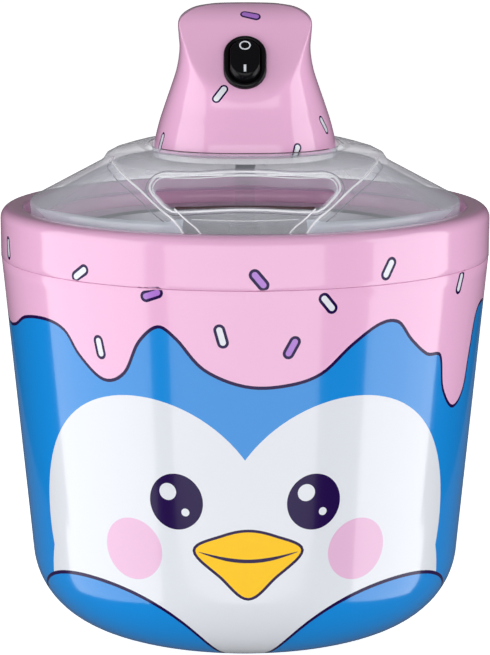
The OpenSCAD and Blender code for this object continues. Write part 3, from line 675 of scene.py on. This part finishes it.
def ring_mesh(name, rings, look, body, close_in=False, sharp=40):
    """A skin through rings of equal length, each a list of points in metres.

    close_in fills the last ring.
    """
    n = len(rings[0])
    verts = [p for ring in rings for p in ring]
    faces = []
    for k in range(len(rings) - 1):
        for i in range(n):
            j = (i + 1) % n
            faces.append((k * n + i, k * n + j, (k + 1) * n + j, (k + 1) * n + i))
    if close_in:
        faces.append([(len(rings) - 1) * n + i for i in range(n)])
    me = bpy.data.meshes.new(name)
    me.from_pydata(verts, [], faces)
    bm = bmesh.new()
    bm.from_mesh(me)
    bmesh.ops.recalc_face_normals(bm, faces=bm.faces)
    bm.to_mesh(me)
    bm.free()
    me.materials.append(MATS[look])
    me.shade_smooth()
    me.set_sharp_from_angle(angle=math.radians(sharp))
    o = bpy.data.objects.new(name, me)
    bpy.context.scene.collection.objects.link(o)
    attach(o, body)
    return o


def rocker_radius(x):
    """Distance of the rocker's rounded ends from its pivot."""
    return 3 + math.sqrt(max(5.6 ** 2 - x * x, 0))


def switch():
    """Bezel (half width, half height, distance out of the face), rocker and its two marks."""
    prof = [(6.5, 9.5, -11), (6.5, 9.5, -0.05), (7.2, 10.2, -0.05), (7.5, 10.5, 0.15),
            (7.5, 10.5, 0.9), (7.4, 10.4, 1.35), (7.1, 10.1, 1.72), (6.7, 9.8, 1.88),
            (6.2, 9.4, 1.9), (5.8, 9.1, 1.8), (5.6, 8.9, 1.5), (5.6, 8.9, -6.6), (0.6, 3.9, -6.6)]
    rings = [[switch_point(x, s, n) for x, s in capsule(2 * h, 2 * r, 90, 20)] for r, h, n in prof]
    bezel = ring_mesh("switch_bezel_shell", rings, "black", "motor_head", True)
    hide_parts("switch_bezel")
    slope = 2.32 / 18
    pivot = 0.5

    def face(s):
        """How far the rocker's leaning face stands out at s."""
        return 4.88 - (s + 9) * slope

    def outline(k, n=96):
        """Edge of the rocker's face, shrunk by k, with its turn about the pivot."""
        h = face(0) + pivot
        pts = []
        for i in range(n):
            t = 2 * math.pi * (i + 0.5) / n
            x = (5.13 - k) * math.cos(t)
            r = rocker_radius(x) - k
            disc = max(h * h * slope * slope - (1 + slope ** 2) * (h * h - r * r), 0)
            s = (h * slope + math.copysign(math.sqrt(disc), math.sin(t))) / (1 + slope ** 2)
            pts.append((x, s))
        return pts

    rings = []
    for turn in (1.0, 0.66, 0.33, 0.05):
        ring = []
        for x, s in outline(0):
            r = rocker_radius(x)
            a0 = math.atan2(face(s) + pivot, s)
            end = math.radians(198 if s < 1.0 else -18)
            a = a0 + (end - a0) * turn
            ring.append(switch_point(x, r * math.cos(a), r * math.sin(a) - pivot))
        rings.append(ring)
    for k, drop in ((0.12, 0.1), (0.35, 0.0), (1.2, 0.05), (2.6, 0.1), (4.2, 0.12), (5.0, 0.12)):
        rings.append([switch_point(x, s, face(s) - drop) for x, s in outline(k)])
    rocker = ring_mesh("rocker_cap", rings, "black", "rocker", True)
    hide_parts("switch_rocker")

    def mark(name, outer, inner, s0):
        layers = [(outer, 0.0), (outer, 0.1)]
        if inner is not None:
            layers += [(inner, 0.1), (inner, 0.0)]
        rings = [[switch_point(x, s + s0, face(s + s0) - 0.08 + n) for x, s in ring]
                 for ring, n in layers]
        ring_mesh(name, rings, "white", "rocker", inner is None)

    mark("rocker_mark_off", ellipse(0, 0, 2.0, 1.9, 32), ellipse(0, 0, 1.52, 1.42, 32), 5.5)
    bar = [(-0.43, -1.5), (0.43, -1.5), (0.43, 1.5), (-0.43, 1.5)]
    mark("rocker_mark_on", bar, None, -4.4)


# ---- clear lid: rows of half width, half depth, plan exponent, height, round the whole section
LID_ROWS = [(77.4, 77.4, 2, 150.5), (77.4, 77.4, 2, 155.0), (77.3, 77.3, 2, 155.7),
            (77.0, 77.0, 2, 156.1), (76.5, 76.5, 2, 156.35), (46.9, 46.9, 2, 172.1),
            (43.0, 45.0, 2.15, 173.1), (39.0, 42.4, 2.3, 174.0), (36.4, 40.6, 2.4, 174.7),
            (35.3, 39.7, 2.44, 175.2), (35.0, 39.4, 2.44, 175.6), (34.7, 39.1, 2.44, 175.9),
            (34.2, 38.7, 2.44, 176.0), (33.6, 38.2, 2.44, 175.9), (33.3, 37.9, 2.44, 175.5),
            (33.2, 37.8, 2.44, 172.6), (33.0, 37.6, 2.44, 172.2), (32.6, 37.2, 2.44, 172.0),
            (13, 13, 2, 172.0), (12.2, 12.2, 2, 171.7), (12, 12, 2, 171.2), (12, 12, 2, 170.4),
            (12.4, 12.4, 2, 169.9), (13, 13, 2, 169.8), (46.0, 46.0, 2, 169.8),
            (47.0, 47.0, 2, 169.5), (74.6, 74.6, 2, 154.8), (74.9, 74.9, 2, 154.2),
            (74.9, 74.9, 2, 150.5), (75.4, 75.4, 2, 150.3), (76.9, 76.9, 2, 150.3),
            (77.4, 77.4, 2, 150.5)]
# rows at the cone's outer and inner edge, the socket's foot, and the underside's two edges
CONE_OUT, CONE_IN, SOCKET_FOOT, UNDER_IN, UNDER_OUT = 4, 5, 8, 25, 26
# seen from above, right half: the raised plateau's edge, the opening and the sunk front panel
PLATEAU_SIDE = [(46.6, -17.0), (46.2, -23.0), (41.6, -38.7), (35.5, -52.1), (29.2, -64.4),
                (24.0, -72.4), (20.6, -76.6)]
OPENING_HALF = [(12.0, -52.2), (22.0, -49.8), (27.5, -47.4), (30.0, -47.8), (31.2, -50.2),
                (31.4, -53.0), (30.4, -56.6), (26.6, -64.4), (24.2, -67.6), (22.0, -69.0),
                (12.0, -70.3)]
PANEL_HALF = [(20.8, -71.6), (14.4, -75.4)]


def mirrored(half):
    """Closed outline from its right half, anticlockwise seen from above."""
    return np.array([(-x, y) for x, y in half] + half[::-1])


def dense(poly, gap=1.5):
    """Closed outline with points added along its longer sides."""
    out = []
    for a, b in zip(poly, np.roll(poly, -1, 0)):
        n = max(1, int(np.linalg.norm(b - a) / gap))
        out += [a + (b - a) * k / n for k in range(n)]
    return np.array(out)


def signed(poly, x, y):
    """Distance outside (positive) or inside (negative) a closed outline."""
    p = np.column_stack((x, y))
    best = np.full(len(p), 1e9)
    for a, b in zip(poly, np.roll(poly, -1, 0)):
        d = b - a
        t = np.clip(((p - a) @ d) / (d @ d), 0, 1)
        best = np.minimum(best, np.linalg.norm(p - a - t[:, None] * d, axis=1))
    return np.where(inside(poly, p), -best, best)


def step_down(d, width):
    """Smooth fall from 1 to 0 over a width centred on d = 0."""
    t = np.clip(0.5 - d / width, 0, 1)
    return t * t * (3 - 2 * t)


def lid():
    """Clear cone with a raised plateau, a filling opening and a socket, with painted highlights on
    its side bands and edges and painted dark lines along them.
    """
    rows = np.array(LID_ROWS)
    run = np.concatenate(([0], np.cumsum(np.hypot(np.diff(rows[:, 0]), np.diff(rows[:, 3])))))
    rise, rear_radius = 1.7, 50.8  # of the plateau
    rear = [(rear_radius * math.cos(math.radians(a)), rear_radius * math.sin(math.radians(a)))
            for a in range(-20, 201, 5)]
    left = [(-x, y) for x, y in PLATEAU_SIDE]
    plateau = np.array(rear + left + PLATEAU_SIDE[::-1])
    opening = mirrored(OPENING_HALF)
    panel = mirrored(PANEL_HALF)
    cone, socket = run[CONE_OUT], run[SOCKET_FOOT]

    def height(x, y):
        """Lift above the cone: plateau, sunk panel and the rim around the opening."""
        h = rise * step_down(signed(plateau, x, y), 1.4)
        h -= rise * step_down(signed(panel, x, y), 1.2) * 0.9
        gap = signed(opening, x, y)
        h += 0.35 * step_down(np.abs(gap) - 1.6, 1.2)
        return h

    def surf(u, v):
        a, b, e, z = (np.interp(v, run, rows[:, k]) for k in range(4))
        f = np.radians(u)
        sn, cs = np.abs(np.sin(f)), np.abs(np.cos(f))
        r = ((sn / a) ** e + (cs / b) ** e) ** (-1 / e)
        x, y = r * np.sin(f), -r * np.cos(f)
        top = (v > cone - 0.01) & (v < socket)
        fade = np.clip((v - cone) / 2.5, 0, 1) * np.clip((socket - v) / 2.0, 0, 1)
        return np.column_stack((x, y, z + np.where(top, height(x, y) * fade, 0)))

    def unroll(poly, near, far):
        """Outline seen from above, in the grid of the cone between two rows."""
        ends = sorted(((rows[near, 0], run[near]), (rows[far, 0], run[far])))
        v = np.interp(np.hypot(poly[:, 0], poly[:, 1]), *zip(*ends))
        return np.column_stack((np.degrees(np.arctan2(poly[:, 0], -poly[:, 1])), v))

    def on_top(poly):
        return unroll(poly, CONE_OUT, CONE_IN)

    shapes = []
    for d in (-0.7, -0.25, 0.25, 0.7):
        ring = dense(offset(plateau, d))
        front = ring[ring[:, 1] < -16]
        front = on_top(front[np.argsort(np.arctan2(front[:, 0], -front[:, 1]))])
        # the closing side has points of its own, so that no face cuts across the cone
        back = np.linspace(front[-1], front[0], 90)[1:-1]
        shapes.append((np.vstack((front, back)), "clear"))
    for outline, gaps in ((panel, (-0.6, 0.0, 0.6)), (opening, (2.3, 1.7, 1.0))):
        shapes += [(on_top(dense(offset(outline, d))), "clear") for d in gaps]
    # painted highlight: a pale semi-opaque band over the skirt and rounded edge at each front side
    for side in (-1, 1):
        band = [(15.6, run[0] + 0.3), (15.6, cone + 1.3), (24, cone + 0.9), (40, cone + 0.2),
                (62, run[3]), (72, run[2] - 0.5), (60, run[0] + 1.5), (40, run[0] + 0.3)]
        shapes.append((np.array([(side * u, v) for u, v in band][::side]), "clear_rim"))
    hole = dense(opening)
    shapes.append((on_top(hole), None))
    shapes.append((unroll(hole, UNDER_IN, UNDER_OUT), None))
    us = np.linspace(-180, 180, 181)
    more = (np.linspace(cone, run[CONE_IN], 22), np.linspace(run[UNDER_IN], run[UNDER_OUT], 14))
    vs = np.unique(np.round(np.concatenate((run, *more)), 6))
    o = printed_skin("lid_shell", surf, us, vs, shapes, "clear", 0.5, closed=True)
    bridge_edges(o)
    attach(o, "lid")
    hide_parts("clear_lid")
    o.visible_shadow = False
    lid_edges(rows, opening)


def lid_edges(rows, opening):
    """Painted highlights and painted shade: pale and dark lines along the lid's edges, for the
    light and shade that thick clear plastic shows there.
    """
    inner, outer = rows[CONE_IN], rows[CONE_OUT]

    def on_cone(poly, lift):
        """Outline seen from above, laid on the cone and lifted."""
        r = np.hypot(poly[:, 0], poly[:, 1])
        z = np.interp(r, [inner[0], outer[0]], [inner[3], outer[3]]) + lift
        return np.column_stack((poly, z))

    edge_radius = 75.6  # where the ribs bend down at the lid's edge
    smooth = catmull(opening, True, 4)
    # painted highlights on beads along the opening's rim and lip, and a painted dark line around
    # its foot
    tube("lid_opening_rim", on_cone(dense(offset(smooth, 0.8), 1.2), 1.75), 0.42, "clear_rib")
    tube("lid_opening_lip", on_cone(dense(offset(smooth, -0.1), 1.2), 0.9), 0.2, "clear_rib")
    tube("lid_opening_foot", on_cone(dense(offset(smooth, 2.2), 1.2), 1.7), 0.18, "clear_line")
    # painted shade: a dark line along the opening's front edge, where the thick clear plastic shows
    # dark
    front = np.array([(-23.2, -66.6), (-17, -68.1), (-9, -69.0), (0, -69.3), (9, -69.0),
                      (17, -68.1), (23.2, -66.6)])
    tube("lid_opening_dark_edge", on_cone(catmull(front), 1.3), 0.5, "edge_shade", False)
    # painted shadow: a dark line along the socket's rim, where the head meets it
    # half width, half depth, plan exponent and height of the socket's rim
    a, b, e, z = 33.6, 38.2, 2.44, 175.95
    t = np.radians(np.linspace(-52, 52, 27))
    r = ((np.abs(np.sin(t)) / a) ** e + (np.cos(t) / b) ** e) ** (-1 / e)
    socket = np.column_stack((r * np.sin(t), -r * np.cos(t), 0 * r + z))
    tube("lid_socket_shade_line", socket, 0.2, "edge_shade", False)
    for side, way in (("left", -1), ("right", 1)):
        # painted highlight on each plateau rib and panel side, and a painted dark line at the rib's
        # foot
        rib = catmull(np.array(PLATEAU_SIDE) * [way, 1])
        rib = rib[np.hypot(rib[:, 0], rib[:, 1]) < edge_radius]
        end = [(way * 23.0, -73.6, 157.0), (way * 21.6, -75.0, 155.4), (way * 19.8, -76.9, 152.9)]
        tube("lid_rib_" + side, np.vstack((on_cone(rib, 1.55), end)), 0.38, "clear_rib", False)
        foot = catmull((np.array(PLATEAU_SIDE) + [1.7, -0.3]) * [way, 1])
        foot = foot[np.hypot(foot[:, 0], foot[:, 1]) < 76]
        tube("lid_rib_foot_" + side, on_cone(foot, 0.1), 0.2, "clear_line", False)
        corner = [(way * 23.4, -70.0, 161.0), (way * 19.6, -73.6, 157.9),
                  (way * 16.2, -76.0, 155.4), (way * 14.2, -77.1, 153.2)]
        tube("lid_panel_side_" + side, catmull(corner), 0.3, "clear_rib", False)
    # painted highlights along the sunk panel's top and foot
    top = [(-17.6, -73.3, 157.9), (0, -74.6, 157.6), (17.6, -73.3, 157.9)]
    foot = [(-14.2, -76.9, 153.2), (0, -77.3, 153.2), (14.2, -76.9, 153.2)]
    tube("lid_panel_top", catmull(top), 0.12, "clear_rib", False)
    tube("lid_panel_foot", catmull(foot), 0.3, "clear_rib", False)


def tube(name, path, radius, look, closed=True, n=8):
    """Rounded edge of the clear moulding along a path in mm."""
    path = np.array(path)
    if closed:
        run_dir = np.roll(path, -1, 0) - np.roll(path, 1, 0)
    else:
        run_dir = np.gradient(path, axis=0)
    rings = []
    for p, d in zip(path, run_dir):
        d = d / np.linalg.norm(d)
        side = np.cross(d, (0, 0, 1))
        side /= np.linalg.norm(side)
        up = np.cross(side, d)
        rings.append([tuple((p + radius * (math.cos(t) * side + math.sin(t) * up)) * MM)
                      for t in np.linspace(0, 2 * math.pi, n, endpoint=False)])
    if closed:
        rings.append(rings[0])
    o = ring_mesh(name, rings, look, "lid", sharp=60)
    o.visible_shadow = False


def bridge_edges(o):
    """Joins the two open rims of a cut-out with a wall."""
    bm = bmesh.new()
    bm.from_mesh(o.data)
    rim = [e for e in bm.edges if len(e.link_faces) == 1]
    bmesh.ops.bridge_loops(bm, edges=rim)
    bmesh.ops.recalc_face_normals(bm, faces=bm.faces)
    bm.to_mesh(o.data)
    bm.free()
    o.data.shade_smooth()
    o.data.set_sharp_from_angle(angle=math.radians(40))


housing()
collar()
motor_head()
switch()
lid()


# ---------------------------------------------------------------- camera, light, floor

def area_light(name, loc, target, width, height, power):
    """Softbox at loc that faces target."""
    d = bpy.data.lights.new(name, "AREA")
    d.shape = "RECTANGLE"
    d.size, d.size_y, d.energy = width, height, power
    o = bpy.data.objects.new(name, d)
    bpy.context.scene.collection.objects.link(o)
    o.location = loc
    o.rotation_mode = "QUATERNION"
    o.rotation_quaternion = (Vector(target) - Vector(loc)).to_track_quat("-Z", "Y")


def floor():
    """Round paper floor that rises into a wall far behind the set."""
    bm = bmesh.new()
    n = 64
    rows = [(0.4, 0), (1, 0), (2, 0), (4, 0), (7, 0), (8.2, 0.35), (8.7, 1), (8.9, 2), (9, 6)]
    turns = [2 * math.pi * i / n for i in range(n)]
    loops = [[bm.verts.new((r * math.cos(t), r * math.sin(t), z)) for t in turns]
             for r, z in rows]
    bm.faces.new(loops[0])
    for low, high in zip(loops, loops[1:]):
        for i in range(n):
            bm.faces.new((low[i], high[i], high[(i + 1) % n], low[(i + 1) % n]))
    me = bpy.data.meshes.new("floor")
    bm.to_mesh(me)
    o = bpy.data.objects.new("floor", me)
    bpy.context.scene.collection.objects.link(o)
    m, nt, b = new_material("floor_paper")
    vary(nt, b, (0.93, 0.93, 0.93), noise(nt, 3), 0.01)
    b.inputs["Roughness"].default_value = 0.6
    b.inputs["Emission Color"].default_value = (1, 1, 1, 1)
    b.inputs["Emission Strength"].default_value = 0.95
    me.materials.append(m)
    o.visible_glossy = o.visible_diffuse = o.visible_shadow = False


def dark_flag(name, x):
    """Dark card beside the set, seen only in reflections, that draws the edges of gloss."""
    bm = bmesh.new()
    for a, b in ((0.02, 0.0), (2.0, 0.0), (2.0, 1.2), (0.02, 1.2)):
        bm.verts.new((x * (1 + 0.25 * a), a, b - 0.05))
    bm.faces.new(bm.verts)
    me = bpy.data.meshes.new(name)
    bm.to_mesh(me)
    o = bpy.data.objects.new(name, me)
    bpy.context.scene.collection.objects.link(o)
    m, nt, b = new_material(name)
    vary(nt, b, (0.02, 0.02, 0.02), noise(nt, 3), 0.1)
    b.inputs["Roughness"].default_value = 0.9
    me.materials.append(m)
    o.visible_camera = o.visible_shadow = o.visible_transmission = o.visible_diffuse = False


floor()
area_light("key_left", (-1.46, -0.34, 0.15), (0, 0, 0.15), 1.85, 2.3, 26)
area_light("key_right", (1.5, -0.16, 0.15), (0, 0, 0.15), 1.4, 2.3, 23)
area_light("front_fill", (0.0, -2.2, 0.1), (0, 0, 0.1), 3.2, 2.6, 45)
dark_flag("flag_left", -0.3)
dark_flag("flag_right", 0.3)

# room light, a little stronger from above
world = bpy.data.worlds.new("studio")
bpy.context.scene.world = world
world.use_nodes = True
nt = world.node_tree
sky = nt.nodes["Background"]
sky.inputs["Color"].default_value = (1, 1, 1, 1)
where = nt.nodes.new("ShaderNodeTexCoord")
split = nt.nodes.new("ShaderNodeSeparateXYZ")
fade = nt.nodes.new("ShaderNodeMapRange")
fade.inputs["From Min"].default_value = -0.1
fade.inputs["To Min"].default_value = 0.10
fade.inputs["To Max"].default_value = 0.16
nt.links.new(where.outputs["Generated"], split.inputs["Vector"])
nt.links.new(split.outputs["Z"], fade.inputs["Value"])
nt.links.new(fade.outputs["Result"], sky.inputs["Strength"])

cam_data = bpy.data.cameras.new("camera")
cam = bpy.data.objects.new("camera", cam_data)
bpy.context.scene.collection.objects.link(cam)
bpy.context.scene.camera = cam
cam_data.lens = 129.2
cam_data.sensor_width = 36
cam.location = (0, -0.8438, 0.2632)
cam.rotation_euler = (math.radians(90 - 10.41), 0, 0)  # looks down by 10.41 degrees
bpy.context.scene.view_settings.view_transform = "Standard"
